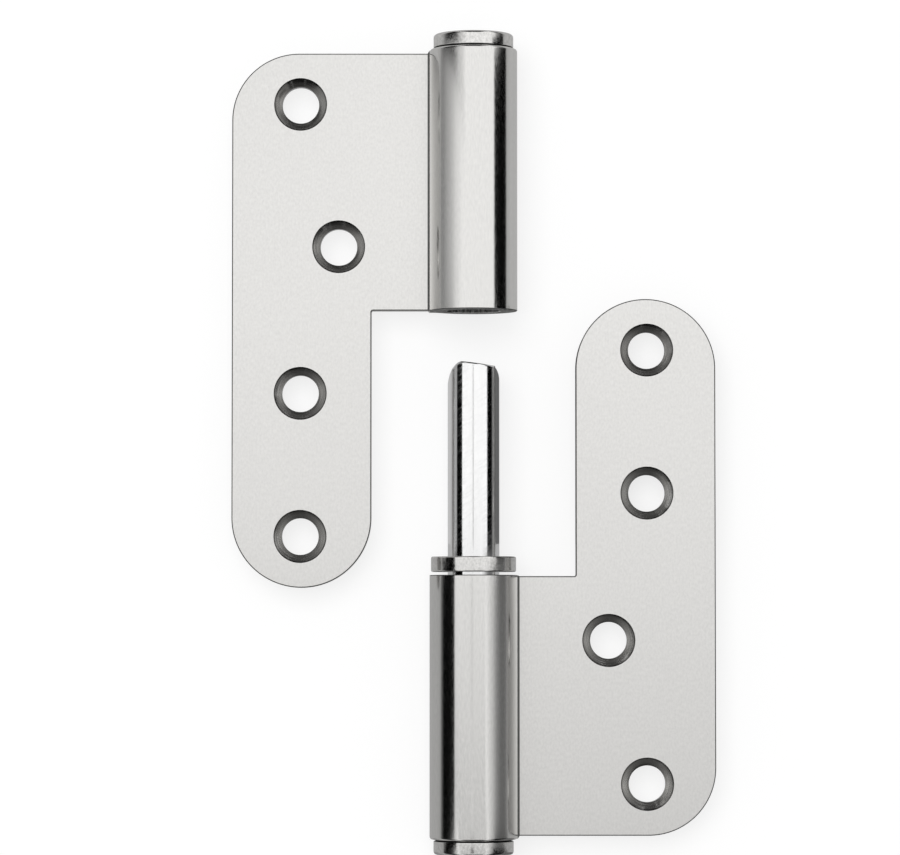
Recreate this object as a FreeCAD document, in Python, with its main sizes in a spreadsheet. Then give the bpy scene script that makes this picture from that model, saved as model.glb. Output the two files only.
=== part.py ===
"""Lift off hinge, opened flat, with the door half lifted clear of the pin.

Both halves lie on their knuckles. +X runs across the leaves, +Y runs up the pin and +Z points out of the
countersunk faces. The origin is under the pin's axis, at the middle of the hinge's length, level with the
backs of the knuckles. Millimetres.
"""

import FreeCAD, Part
import math
import os

import Sketcher

DOCUMENT = FreeCAD.newDocument("LiftOffHinge")
ORIGIN = FreeCAD.Vector(0, 0, 0)
OUT = FreeCAD.Vector(0, 0, 1)
NEAR = 1e-4

# Driving dimensions, in millimetres and degrees
SIZES = {
    "leaf_height": 102.0,
    "leaf_reach": 46.05,
    "sheet_gauge": 3.4,
    "closed_gap": 2.0,
    "tongue_width": 26.6,
    "corner_radius": 12.8,
    "notch_radius": 0.3,
    "notch_step": 0.05,
    "edge_roll": 0.5,
    "edge_break": 0.2,
    "bore_diameter": 9.9,
    "knuckle_length": 50.0,
    "knuckle_proud": 0.6,
    "root_bend": 2.5,
    "seam_gap": 0.1,
    "mouth_chamfer": 0.15,
    "hole_diameter": 7.0,
    "sink_diameter": 10.1,
    "sink_angle": 90.0,
    "hole_line": 33.0,
    "stagger": 7.3,
    "inner_pitch": 28.0,
    "end_distance": 9.75,
    "running_clearance": 0.05,
    "pin_rise": 40.7,
    "pin_foot_gap": 0.5,
    "pin_tip_radius": 2.7,
    "pin_tip_slope": 9.0,
    "pin_tip_start": 2.0,
    "washer_diameter": 16.15,
    "washer_thickness": 2.9,
    "washer_float": 0.6,
    "washer_clearance": 0.1,
    "washer_round": 0.3,
    "cap_diameter": 15.2,
    "cap_height": 2.85,
    "cap_groove": 0.3,
    "groove_depth": 0.7,
    "cap_round": 0.6,
    "cap_break": 0.15,
    "spigot_length": 6.0,
    "lead_chamfer": 0.5,
    "lift_height": 47.0,
}

# Sizes that follow from the driving ones
KNUCKLE_RADIUS = "(Sizes.bore_diameter / 2 + Sizes.sheet_gauge)"
LEAF_FACE = f"({KNUCKLE_RADIUS} - Sizes.closed_gap / 2)"
LEAF_BACK = f"({LEAF_FACE} - Sizes.sheet_gauge)"
ROOT = (
    f"sqrt(({KNUCKLE_RADIUS} + Sizes.root_bend)^2"
    f" - (Sizes.closed_gap / 2 + Sizes.sheet_gauge + Sizes.root_bend)^2)"
)
LEAF_MIDDLE = "(Sizes.knuckle_proud + Sizes.leaf_height / 2)"
NOTCH_START = "(Sizes.knuckle_length - Sizes.mouth_chamfer - Sizes.notch_step)"
CAP_END = "((Sizes.leaf_height + Sizes.lift_height) / 2 + Sizes.knuckle_proud)"
OPEN_END = f"({CAP_END} - Sizes.knuckle_length)"
PIN_RADIUS = "(Sizes.bore_diameter / 2 - Sizes.running_clearance)"
PIN_SEAT = "(Sizes.knuckle_length - Sizes.spigot_length - Sizes.pin_foot_gap)"


def make_sheet():
    """Put every driving dimension in a sheet, one named cell each."""
    sheet = DOCUMENT.addObject("Spreadsheet::Sheet", "Sizes")
    for row, (name, value) in enumerate(SIZES.items(), start=1):
        sheet.set(f"A{row}", name)
        sheet.set(f"B{row}", str(value))
        sheet.setAlias(f"B{row}", name)
    DOCUMENT.recompute()
    return sheet


SHEET = make_sheet()


def value_of(expression):
    """Work out a size from the sheet, as a plain number."""
    return float(SHEET.evalExpression(expression.replace("Sizes.", "")))


def make_body(label):
    body = DOCUMENT.addObject("PartDesign::Body", label)
    body.Label = label
    return body


def make_sketch(body, name, role):
    """Add a sketch on one of the body's own origin planes."""
    sketch = body.newObject("Sketcher::SketchObject", name)
    plane = next(item for item in body.Origin.OriginFeatures if item.Role == role)
    sketch.AttachmentSupport = [(plane, "")]
    sketch.MapMode = "FlatFace"
    return sketch


def bind(sketch, kind, *place, size):
    """Add a dimension to a sketch and tie it to the sheet."""
    index = sketch.addConstraint(Sketcher.Constraint(kind, *place, value_of(size)))
    sketch.setExpression(f"Constraints[{index}]", size)


def hold(sketch, kind, *place):
    sketch.addConstraint(Sketcher.Constraint(kind, *place))


def line(x0, y0, x1, y1):
    return Part.LineSegment(FreeCAD.Vector(x0, y0, 0), FreeCAD.Vector(x1, y1, 0))


def arc(x, y, radius, start, end):
    """An arc that runs counterclockwise between two angles in degrees."""
    circle = Part.Circle(FreeCAD.Vector(x, y, 0), OUT, radius)
    return Part.ArcOfCircle(circle, math.radians(start), math.radians(end))


def pad(body, sketch, name, length, backwards=False):
    feature = body.newObject("PartDesign::Pad", name)
    feature.Profile = sketch
    feature.setExpression("Length", length)
    feature.Reversed = backwards
    DOCUMENT.recompute()
    return feature


def revolve(body, sketch, name):
    """Turn a half profile about the sketch's vertical axis."""
    feature = body.newObject("PartDesign::Revolution", name)
    feature.Profile = sketch
    feature.ReferenceAxis = (sketch, ["V_Axis"])
    feature.Angle = 360
    DOCUMENT.recompute()
    return feature


def dress(body, kind, name, size, wanted):
    """Fillet or chamfer the edges of the body that a test picks by their place."""
    base = body.Tip
    picked = []
    for number, edge in enumerate(base.Shape.Edges, start=1):
        if wanted(edge):
            picked.append(f"Edge{number}")
    if not picked:
        raise RuntimeError(f"{body.Label}: no edges for {name}")
    feature = body.newObject(f"PartDesign::{kind}", name)
    feature.Base = (base, picked)
    feature.setExpression("Radius" if kind == "Fillet" else "Size", size)
    DOCUMENT.recompute()
    return feature


def draw_polygon(sketch, points):
    """Draw straight sides between corners, joined end to end."""
    count = len(points)
    for number, (x, y) in enumerate(points):
        sketch.addGeometry(line(x, y, *points[(number + 1) % count]), False)
    for number in range(count):
        hold(sketch, "Coincident", number, 2, (number + 1) % count, 1)


# The blank: an L cut from thick sheet, with a round tongue and one round corner
def draw_blank(body):
    root_line = value_of(ROOT)
    start = value_of("Sizes.knuckle_proud")
    reach = value_of("Sizes.leaf_reach")
    end = start + value_of("Sizes.leaf_height")
    corner = value_of("Sizes.corner_radius")
    round_end = value_of("Sizes.tongue_width") / 2
    inner = reach - 2 * round_end
    notch = value_of(NOTCH_START)
    small = value_of("Sizes.notch_radius")

    sketch = make_sketch(body, "Blank", "XY_Plane")
    sketch.setExpression("AttachmentOffset.Base.z", LEAF_BACK)
    foot, outer_corner, outer_edge, tongue_end, inner_edge, notch_corner, notch_edge, root = range(8)
    sketch.addGeometry(line(root_line, start, reach - corner, start), False)
    sketch.addGeometry(arc(reach - corner, start + corner, corner, -90, 0), False)
    sketch.addGeometry(line(reach, start + corner, reach, end - round_end), False)
    sketch.addGeometry(arc(reach - round_end, end - round_end, round_end, 0, 180), False)
    sketch.addGeometry(line(inner, end - round_end, inner, notch + small), False)
    sketch.addGeometry(arc(inner - small, notch + small, small, -90, 0), False)
    sketch.addGeometry(line(inner - small, notch, root_line, notch), False)
    sketch.addGeometry(line(root_line, notch, root_line, start), False)

    hold(sketch, "Tangent", foot, 2, outer_corner, 1)
    hold(sketch, "Tangent", outer_corner, 2, outer_edge, 1)
    hold(sketch, "Tangent", outer_edge, 2, tongue_end, 1)
    hold(sketch, "Tangent", tongue_end, 2, inner_edge, 1)
    hold(sketch, "Tangent", inner_edge, 2, notch_corner, 2)
    hold(sketch, "Tangent", notch_corner, 1, notch_edge, 1)
    hold(sketch, "Coincident", notch_edge, 2, root, 1)
    hold(sketch, "Coincident", root, 2, foot, 1)
    hold(sketch, "Horizontal", foot)
    hold(sketch, "Horizontal", notch_edge)
    hold(sketch, "Vertical", outer_edge)
    hold(sketch, "Vertical", inner_edge)
    hold(sketch, "Vertical", root)
    bind(sketch, "DistanceX", -1, 1, foot, 1, size=ROOT)
    bind(sketch, "DistanceY", -1, 1, foot, 1, size="Sizes.knuckle_proud")
    bind(sketch, "DistanceX", -1, 1, outer_edge, 1, size="Sizes.leaf_reach")
    bind(sketch, "Radius", outer_corner, size="Sizes.corner_radius")
    bind(sketch, "Radius", tongue_end, size="Sizes.tongue_width / 2")
    middle_of_round = "Sizes.knuckle_proud + Sizes.leaf_height - Sizes.tongue_width / 2"
    bind(sketch, "DistanceY", -1, 1, tongue_end, 3, size=middle_of_round)
    bind(sketch, "Radius", notch_corner, size="Sizes.notch_radius")
    bind(sketch, "DistanceY", -1, 1, notch_edge, 2, size=NOTCH_START)
    return pad(body, sketch, "Plate", "Sizes.sheet_gauge")


# The curl: the sheet bends back at its root and rolls round the pin until its end meets the leaf's face
def draw_curl(body):
    bore = value_of("Sizes.bore_diameter") / 2
    outside = value_of(KNUCKLE_RADIUS)
    face_height = value_of(LEAF_FACE)
    back_height = value_of(LEAF_BACK)
    seam_height = face_height + value_of("Sizes.seam_gap")
    bend = value_of("Sizes.root_bend")
    root_line = value_of(ROOT)

    def angle_at(height, radius):
        """The angle at which a circle round the axis passes a height, on the leaf's side."""
        return math.degrees(math.asin((height - outside) / radius))

    def place_at(height, radius):
        turn = math.radians(angle_at(height, radius))
        return radius * math.cos(turn)

    touch = math.degrees(math.atan2(back_height - bend - outside, root_line))
    sketch = make_sketch(body, "Curl", "XZ_Plane")
    outer, bend_arc, rise, face, inner, lip = range(6)
    sketch.addGeometry(arc(0, outside, outside, angle_at(seam_height, outside), touch + 360), False)
    sketch.addGeometry(arc(root_line, back_height - bend, bend, 90, touch + 180), False)
    sketch.addGeometry(line(root_line, back_height, root_line, face_height), False)
    sketch.addGeometry(line(root_line, face_height, place_at(face_height, bore), face_height), False)
    sketch.addGeometry(
        arc(0, outside, bore, angle_at(seam_height, bore), angle_at(face_height, bore) + 360), False
    )
    sketch.addGeometry(
        line(place_at(seam_height, bore), seam_height, place_at(seam_height, outside), seam_height), False
    )

    hold(sketch, "Tangent", outer, 2, bend_arc, 2)
    hold(sketch, "Coincident", bend_arc, 1, rise, 1)
    hold(sketch, "Vertical", bend_arc, 3, bend_arc, 1)
    hold(sketch, "Coincident", rise, 2, face, 1)
    hold(sketch, "Coincident", face, 2, inner, 2)
    hold(sketch, "Coincident", inner, 1, lip, 1)
    hold(sketch, "Coincident", lip, 2, outer, 1)
    hold(sketch, "Coincident", inner, 3, outer, 3)
    hold(sketch, "PointOnObject", outer, 3, -2)
    hold(sketch, "Vertical", rise)
    hold(sketch, "Horizontal", face)
    hold(sketch, "Horizontal", lip)
    bind(sketch, "Radius", inner, size="Sizes.bore_diameter / 2")
    bind(sketch, "Radius", outer, size=KNUCKLE_RADIUS)
    bind(sketch, "Radius", bend_arc, size="Sizes.root_bend")
    bind(sketch, "DistanceY", -1, 1, outer, 3, size=KNUCKLE_RADIUS)
    bind(sketch, "DistanceY", -1, 1, rise, 1, size=LEAF_BACK)
    bind(sketch, "DistanceY", -1, 1, rise, 2, size=LEAF_FACE)
    bind(sketch, "DistanceY", -1, 1, lip, 1, size=f"{LEAF_FACE} + Sizes.seam_gap")
    return pad(body, sketch, "Knuckle", "Sizes.knuckle_length", backwards=True)


# Four countersunk screw holes: three in line, and one stepped in towards the pin
def drill_leaf(body):
    radius = value_of("Sizes.hole_diameter") / 2
    rows = [
        ("Sizes.hole_line", "Sizes.knuckle_proud + Sizes.end_distance"),
        ("Sizes.hole_line - Sizes.stagger", f"{LEAF_MIDDLE} - Sizes.inner_pitch / 2"),
        ("Sizes.hole_line", f"{LEAF_MIDDLE} + Sizes.inner_pitch / 2"),
        ("Sizes.hole_line", "Sizes.knuckle_proud + Sizes.leaf_height - Sizes.end_distance"),
    ]

    sketch = make_sketch(body, "ScrewHoles", "XY_Plane")
    sketch.setExpression("AttachmentOffset.Base.z", LEAF_FACE)
    for number, (across, along) in enumerate(rows):
        centre = FreeCAD.Vector(value_of(across), value_of(along), 0)
        sketch.addGeometry(Part.Circle(centre, OUT, radius), False)
        bind(sketch, "DistanceX", -1, 1, number, 3, size=across)
        bind(sketch, "DistanceY", -1, 1, number, 3, size=along)
        bind(sketch, "Radius", number, size="Sizes.hole_diameter / 2")
    DOCUMENT.recompute()

    holes = body.newObject("PartDesign::Hole", "Countersinks")
    holes.Profile = sketch
    holes.Threaded = False
    holes.DepthType = "ThroughAll"
    holes.HoleCutType = "Countersink"
    holes.HoleCutCustomValues = True
    holes.setExpression("Diameter", "Sizes.hole_diameter")
    holes.setExpression("HoleCutDiameter", "Sizes.sink_diameter")
    holes.setExpression("HoleCutCountersinkAngle", "Sizes.sink_angle")
    DOCUMENT.recompute()
    return holes


def make_leaf(label):
    """Cut, roll, drill and deburr one leaf. Its cap end is at y = 0 and its tongue points along +Y."""
    body = make_body(label)
    draw_blank(body)
    draw_curl(body)

    face_height = value_of(LEAF_FACE)
    back_height = value_of(LEAF_BACK)
    open_end = value_of("Sizes.knuckle_length")
    outside = value_of(KNUCKLE_RADIUS)
    bend = value_of("Sizes.root_bend")
    root_line = value_of(ROOT)

    def outlines(edge, height):
        box = edge.BoundBox
        flat = abs(box.ZMin - height) < NEAR and abs(box.ZMax - height) < NEAR
        return flat and box.XMin > root_line - NEAR and box.XMax > root_line + NEAR

    def is_arc(edge, radius, along):
        if not isinstance(edge.Curve, Part.Circle) or abs(edge.Curve.Radius - radius) > NEAR:
            return False
        return abs(edge.BoundBox.YMin - along) < NEAR and abs(edge.BoundBox.YMax - along) < NEAR

    def mouth(edge):
        return is_arc(edge, outside, open_end) or is_arc(edge, bend, open_end)

    def shoulder(edge):
        return is_arc(edge, outside, 0) or is_arc(edge, bend, 0)

    dress(body, "Chamfer", "KnuckleMouth", "Sizes.mouth_chamfer", mouth)
    dress(body, "Fillet", "KnuckleShoulder", "Sizes.edge_roll", shoulder)
    dress(body, "Fillet", "RolledEdge", "Sizes.edge_roll", lambda edge: outlines(edge, back_height))
    dress(body, "Chamfer", "BrokenEdge", "Sizes.edge_break", lambda edge: outlines(edge, face_height))
    drill_leaf(body)
    return body


# The pin: fixed in the frame knuckle, ground to a slanting round tip
def make_pin():
    body = make_body("hinge_pin")
    seat = value_of("Sizes.bore_diameter") / 2
    run = value_of(PIN_RADIUS)
    shoulder = value_of(PIN_SEAT)
    top = shoulder + value_of("Sizes.pin_rise")
    tip = value_of("Sizes.pin_tip_radius")

    sketch = make_sketch(body, "PinProfile", "XY_Plane")
    foot, seat_side, step, run_side, nose, crown, axis = range(7)
    sketch.addGeometry(line(0, 0, seat, 0), False)
    sketch.addGeometry(line(seat, 0, seat, shoulder), False)
    sketch.addGeometry(line(seat, shoulder, run, shoulder), False)
    sketch.addGeometry(line(run, shoulder, run, top - tip), False)
    sketch.addGeometry(arc(run - tip, top - tip, tip, 0, 90), False)
    sketch.addGeometry(line(run - tip, top, 0, top), False)
    sketch.addGeometry(line(0, top, 0, 0), False)
    hold(sketch, "Coincident", foot, 1, -1, 1)
    hold(sketch, "Coincident", foot, 2, seat_side, 1)
    hold(sketch, "Coincident", seat_side, 2, step, 1)
    hold(sketch, "Coincident", step, 2, run_side, 1)
    hold(sketch, "Tangent", run_side, 2, nose, 1)
    hold(sketch, "Tangent", nose, 2, crown, 1)
    hold(sketch, "Coincident", crown, 2, axis, 1)
    hold(sketch, "Coincident", axis, 2, foot, 1)
    hold(sketch, "Horizontal", foot)
    hold(sketch, "Horizontal", step)
    hold(sketch, "Horizontal", crown)
    hold(sketch, "Vertical", seat_side)
    hold(sketch, "Vertical", run_side)
    hold(sketch, "Vertical", axis)
    bind(sketch, "DistanceX", -1, 1, seat_side, 1, size="Sizes.bore_diameter / 2")
    bind(sketch, "DistanceX", -1, 1, run_side, 1, size=PIN_RADIUS)
    bind(sketch, "DistanceY", -1, 1, step, 1, size=PIN_SEAT)
    bind(sketch, "DistanceY", -1, 1, crown, 2, size=f"{PIN_SEAT} + Sizes.pin_rise")
    bind(sketch, "Radius", nose, size="Sizes.pin_tip_radius")
    revolve(body, sketch, "Shank")

    def foot_edge(edge):
        return isinstance(edge.Curve, Part.Circle) and abs(edge.BoundBox.YMax) < NEAR

    dress(body, "Chamfer", "FootChamfer", "Sizes.lead_chamfer", foot_edge)

    start = value_of("Sizes.pin_tip_start")
    slope = math.tan(math.radians(value_of("Sizes.pin_tip_slope")))
    side = 2 * run
    grind = make_sketch(body, "TipGrind", "XY_Plane")
    low, right, above, left = range(4)
    draw_polygon(
        grind,
        [(-start, top), (side, top - (side + start) * slope), (side, top + tip), (-start, top + tip)],
    )
    hold(grind, "Vertical", right)
    hold(grind, "Vertical", left)
    hold(grind, "Horizontal", above)
    bind(grind, "DistanceX", low, 1, -1, 1, size="Sizes.pin_tip_start")
    bind(grind, "DistanceY", -1, 1, low, 1, size=f"{PIN_SEAT} + Sizes.pin_rise")
    bind(grind, "DistanceX", -1, 1, right, 1, size=f"2 * {PIN_RADIUS}")
    bind(grind, "DistanceY", low, 1, above, 1, size="Sizes.pin_tip_radius")
    fall = f"({PIN_RADIUS} * 2 + Sizes.pin_tip_start) * tan(Sizes.pin_tip_slope * 1 deg)"
    bind(grind, "DistanceY", right, 1, low, 1, size=fall)
    cut = body.newObject("PartDesign::Pocket", "SlantedTip")
    cut.Profile = grind
    cut.Type = "ThroughAll"
    cut.Midplane = True
    DOCUMENT.recompute()
    return body


# The bearing washer: a turned ring that carries the door half
def make_washer():
    body = make_body("bearing_washer")
    outer = value_of("Sizes.washer_diameter") / 2
    inner_size = f"{PIN_RADIUS} + Sizes.washer_clearance"
    inner = value_of(inner_size)
    thick = value_of("Sizes.washer_thickness")

    sketch = make_sketch(body, "WasherProfile", "XY_Plane")
    base, rim, top, hole = range(4)
    draw_polygon(sketch, [(inner, 0), (outer, 0), (outer, thick), (inner, thick)])
    hold(sketch, "PointOnObject", base, 1, -1)
    hold(sketch, "Horizontal", base)
    hold(sketch, "Horizontal", top)
    hold(sketch, "Vertical", rim)
    hold(sketch, "Vertical", hole)
    bind(sketch, "DistanceX", -1, 1, base, 1, size=inner_size)
    bind(sketch, "DistanceX", -1, 1, base, 2, size="Sizes.washer_diameter / 2")
    bind(sketch, "DistanceY", -1, 1, rim, 2, size="Sizes.washer_thickness")
    revolve(body, sketch, "Ring")

    def rim_edge(edge):
        return isinstance(edge.Curve, Part.Circle) and abs(edge.Curve.Radius - outer) < NEAR

    dress(body, "Fillet", "RimRound", "Sizes.washer_round", rim_edge)
    return body


# A cap: a turned plug whose spigot is pressed into the knuckle's closed end
def make_cap(label):
    """Turn one cap. Its seat is at y = 0, with the spigot along +Y and the head along -Y."""
    body = make_body(label)
    head = value_of("Sizes.cap_diameter") / 2
    spigot = value_of("Sizes.bore_diameter") / 2
    high = value_of("Sizes.cap_height")
    deep = value_of("Sizes.spigot_length")
    groove = value_of("Sizes.cap_groove")
    neck = head - value_of("Sizes.groove_depth")

    sketch = make_sketch(body, "CapProfile", "XY_Plane")
    top, head_side, step, neck_side, seat, spigot_side, foot, axis = range(8)
    draw_polygon(
        sketch,
        [
            (0, -high),
            (head, -high),
            (head, -groove),
            (neck, -groove),
            (neck, 0),
            (spigot, 0),
            (spigot, deep),
            (0, deep),
        ],
    )
    hold(sketch, "PointOnObject", top, 1, -2)
    hold(sketch, "PointOnObject", seat, 1, -1)
    hold(sketch, "Horizontal", top)
    hold(sketch, "Horizontal", step)
    hold(sketch, "Horizontal", seat)
    hold(sketch, "Horizontal", foot)
    hold(sketch, "Vertical", head_side)
    hold(sketch, "Vertical", neck_side)
    hold(sketch, "Vertical", spigot_side)
    hold(sketch, "Vertical", axis)
    bind(sketch, "DistanceX", -1, 1, head_side, 1, size="Sizes.cap_diameter / 2")
    bind(sketch, "DistanceX", -1, 1, neck_side, 1, size="Sizes.cap_diameter / 2 - Sizes.groove_depth")
    bind(sketch, "DistanceX", -1, 1, spigot_side, 1, size="Sizes.bore_diameter / 2")
    bind(sketch, "DistanceY", head_side, 1, -1, 1, size="Sizes.cap_height")
    bind(sketch, "DistanceY", neck_side, 1, -1, 1, size="Sizes.cap_groove")
    bind(sketch, "DistanceY", -1, 1, foot, 1, size="Sizes.spigot_length")
    revolve(body, sketch, "Plug")

    def circle_at(edge, radius, along):
        if not isinstance(edge.Curve, Part.Circle) or abs(edge.Curve.Radius - radius) > NEAR:
            return False
        return abs(edge.Curve.Center.y - along) < NEAR

    dress(body, "Fillet", "HeadRound", "Sizes.cap_round", lambda edge: circle_at(edge, head, -high))
    dress(body, "Chamfer", "HeadBreak", "Sizes.cap_break", lambda edge: circle_at(edge, head, -groove))
    dress(body, "Chamfer", "Lead", "Sizes.lead_chamfer", lambda edge: circle_at(edge, spigot, deep))
    return body


def place(body, along, up=None, turn=0):
    """Move a body along the hinge, raise it to the pin's axis if asked, and turn it about +Z."""
    body.Placement = FreeCAD.Placement(ORIGIN, FreeCAD.Rotation(OUT, turn))
    body.setExpression("Placement.Base.y", along)
    if up:
        body.setExpression("Placement.Base.z", up)


END_FOR_END = 180

frame_leaf = make_leaf("frame_leaf")
place(frame_leaf, f"-{CAP_END}")

door_leaf = make_leaf("door_leaf")
place(door_leaf, CAP_END, turn=END_FOR_END)

hinge_pin = make_pin()
place(hinge_pin, f"-{OPEN_END} - {PIN_SEAT}", up=KNUCKLE_RADIUS)

bearing_washer = make_washer()
place(bearing_washer, f"-{OPEN_END} + Sizes.washer_float", up=KNUCKLE_RADIUS)

frame_cap = make_cap("frame_cap")
place(frame_cap, f"-{CAP_END}", up=KNUCKLE_RADIUS)

door_cap = make_cap("door_cap")
place(door_cap, CAP_END, up=KNUCKLE_RADIUS, turn=END_FOR_END)

DOCUMENT.recompute()

for item in DOCUMENT.Objects:
    if "Invalid" in item.State or "Error" in item.State:
        raise RuntimeError(f"{item.Label} failed: {item.State}")

os.makedirs("parts", exist_ok=True)
for piece in (frame_leaf, door_leaf, hinge_pin, bearing_washer, frame_cap, door_cap):
    shape = piece.Shape
    if shape.isNull() or not shape.isValid() or len(shape.Solids) != 1:
        raise RuntimeError(f"{piece.Label} is not one valid solid")
    shape.exportStep(f"parts/{piece.Label}.step")
    box = shape.optimalBoundingBox(False)
    print(
        f"{piece.Label}: {shape.Volume:.1f} mm3,"
        f" x {box.XMin:.2f} to {box.XMax:.2f},"
        f" y {box.YMin:.2f} to {box.YMax:.2f},"
        f" z {box.ZMin:.2f} to {box.ZMax:.2f}"
    )
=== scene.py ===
# %% [markdown]
# # A lift off hinge, lifted clear of its pin
#
# The hinge has two halves. Each is one piece of thick steel sheet, cut to an L, drilled, and rolled at one
# side into a knuckle. The lower half keeps a solid pin and the upper half drops over it, with a loose washer
# between them. Both halves lie on their knuckles here, opened flat, with the upper one slid off the pin.
#
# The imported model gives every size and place, so this script first loads it and reads its boxes. Nothing in
# it is moved. New pieces are then modelled on top of those boxes, with finer curves and softer edges than
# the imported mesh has.

# %% Load the frame
import math

import bmesh
import bpy
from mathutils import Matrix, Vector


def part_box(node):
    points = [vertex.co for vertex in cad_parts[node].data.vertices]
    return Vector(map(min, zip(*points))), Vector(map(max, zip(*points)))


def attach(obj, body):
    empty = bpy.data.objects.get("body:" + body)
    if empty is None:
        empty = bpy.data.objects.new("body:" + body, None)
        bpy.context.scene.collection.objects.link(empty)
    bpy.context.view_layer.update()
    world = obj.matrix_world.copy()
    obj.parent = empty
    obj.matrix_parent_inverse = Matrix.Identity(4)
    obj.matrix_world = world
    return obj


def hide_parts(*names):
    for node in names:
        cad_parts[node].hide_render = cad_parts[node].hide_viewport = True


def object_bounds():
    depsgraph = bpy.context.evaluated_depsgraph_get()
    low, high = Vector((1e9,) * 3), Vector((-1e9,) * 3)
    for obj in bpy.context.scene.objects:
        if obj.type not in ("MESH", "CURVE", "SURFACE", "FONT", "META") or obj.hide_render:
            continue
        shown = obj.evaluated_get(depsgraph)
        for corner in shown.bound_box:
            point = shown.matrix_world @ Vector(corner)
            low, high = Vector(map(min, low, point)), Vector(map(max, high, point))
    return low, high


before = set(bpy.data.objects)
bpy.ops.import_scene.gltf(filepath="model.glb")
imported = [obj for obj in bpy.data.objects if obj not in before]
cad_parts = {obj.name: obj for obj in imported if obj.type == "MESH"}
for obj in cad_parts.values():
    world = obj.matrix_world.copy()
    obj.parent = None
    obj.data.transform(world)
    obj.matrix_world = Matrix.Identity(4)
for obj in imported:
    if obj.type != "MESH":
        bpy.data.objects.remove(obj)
cad_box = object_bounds()
print("frame nodes:", sorted(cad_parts))

# %% [markdown]
# ## Sizes
#
# Most sizes are read off the frame's boxes. A box can't tell how thick the sheet is or where a hole sits, so
# those few are written down, in metres like everything here. The rest are worked out from them.

# %% Sizes of the leaf, the pin and the plugs
MM = 0.001
TINY = 0.01 * MM

leaf_low, leaf_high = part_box("frame_leaf")
washer_low, washer_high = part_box("bearing_washer")
pin_low, pin_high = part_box("hinge_pin")
cap_low, cap_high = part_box("frame_cap")

GAUGE = 3.4 * MM
CLOSED_GAP = 2.0 * MM
ROOT_BEND = 2.5 * MM
PROUD = 0.6 * MM
WASHER_FLOAT = 0.6 * MM

REACH = leaf_high.x
TONGUE_END = leaf_high.y
CAP_END = leaf_low.y
LEAF_FOOT = CAP_END + PROUD
OPEN_END = washer_low.y - WASHER_FLOAT
KNUCKLE_RADIUS = -leaf_low.x
BORE_RADIUS = KNUCKLE_RADIUS - GAUGE
AXIS_HEIGHT = KNUCKLE_RADIUS
LEAF_FACE = AXIS_HEIGHT - CLOSED_GAP / 2
LEAF_BACK = LEAF_FACE - GAUGE
BEND_HEIGHT = LEAF_BACK - ROOT_BEND
ROOT = math.sqrt((KNUCKLE_RADIUS + ROOT_BEND) ** 2 - (AXIS_HEIGHT - BEND_HEIGHT) ** 2)
print(f"knuckle {(OPEN_END - CAP_END) / MM:.2f} mm long, {2 * KNUCKLE_RADIUS / MM:.2f} mm across")
print(f"leaf face {LEAF_FACE / MM:.2f} mm up, root {ROOT / MM:.2f} mm from the axis")

# %% [markdown]
# ## Working by hand, in code
#
# The steps below are the ones a modeller takes with the mouse: add a primitive, go into edit mode, select
# some faces, extrude them. In a script the selecting has to be done by place or by normal, so these small
# helpers wrap it. `pick` clears the old selection first, because a new primitive starts out fully selected.
# The steps that come back for several pieces are helpers too, such as a flat shape, a round bar or a cut.

# %% Helpers for adding and picking
STEPS = 128
LAY_ALONG_Y = (math.radians(-90), 0, 0)
UPRIGHT = 0.9
SHARP = math.radians(45)
SMOOTH_BELOW = math.radians(40)


def nothing_selected():
    bpy.ops.object.select_all(action="DESELECT")


def settle(name):
    """Name the new object and put its place, turn and size into its mesh."""
    piece = bpy.context.object
    piece.name = name
    piece.data.name = name
    bpy.ops.object.transform_apply(location=True, rotation=True, scale=True)
    return piece


def edit():
    bpy.ops.object.mode_set(mode="EDIT")


def done():
    bpy.ops.object.mode_set(mode="OBJECT")


def everything():
    bpy.ops.mesh.select_all(action="SELECT")


def pick(kind, wanted):
    """Select the vertices, edges or faces of the piece in edit mode that a test accepts."""
    bpy.ops.mesh.select_mode(type=kind)
    bpy.ops.mesh.select_all(action="DESELECT")
    mesh = bmesh.from_edit_mesh(bpy.context.object.data)
    parts = {"VERT": mesh.verts, "EDGE": mesh.edges, "FACE": mesh.faces}[kind]
    count = 0
    for part in parts:
        if wanted(part):
            part.select_set(True)
            count += 1
    bmesh.update_edit_mesh(bpy.context.object.data)
    return count


def work_on(piece):
    """Select one piece alone and make it the active one."""
    nothing_selected()
    piece.select_set(True)
    bpy.context.view_layer.objects.active = piece


def near(a, b):
    return abs(a - b) < TINY


def from_axis(point):
    """How far a point lies from the pin's axis."""
    return math.hypot(point.x, point.z - AXIS_HEIGHT)


def from_bend(point):
    """How far a point lies from the centre of the bend at the leaf's root."""
    return math.hypot(point.x - ROOT, point.z - BEND_HEIGHT)


def ends_at(edge, test):
    return test(edge.verts[0].co) and test(edge.verts[1].co)


def is_sharp(edge):
    return len(edge.link_faces) == 2 and edge.calc_face_angle() > SHARP


def flat_shape(name, centre, width, height):
    """Add a rectangle that lies flat."""
    nothing_selected()
    bpy.ops.mesh.primitive_plane_add(size=1, location=centre)
    bpy.ops.transform.resize(value=(width, height, 1))
    return settle(name)


def round_bar(name, radius, start, end):
    """Add a round bar on the pin's axis, between two places."""
    nothing_selected()
    length = end - start
    bpy.ops.mesh.primitive_cylinder_add(
        vertices=STEPS,
        radius=radius,
        depth=length,
        location=(0, start + length / 2, AXIS_HEIGHT),
        rotation=LAY_ALONG_Y,
    )
    return settle(name)


def pull(x, y, z):
    """Extrude what is picked and move it."""
    bpy.ops.mesh.extrude_region_move(TRANSFORM_OT_translate={"value": (x, y, z)})


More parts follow.
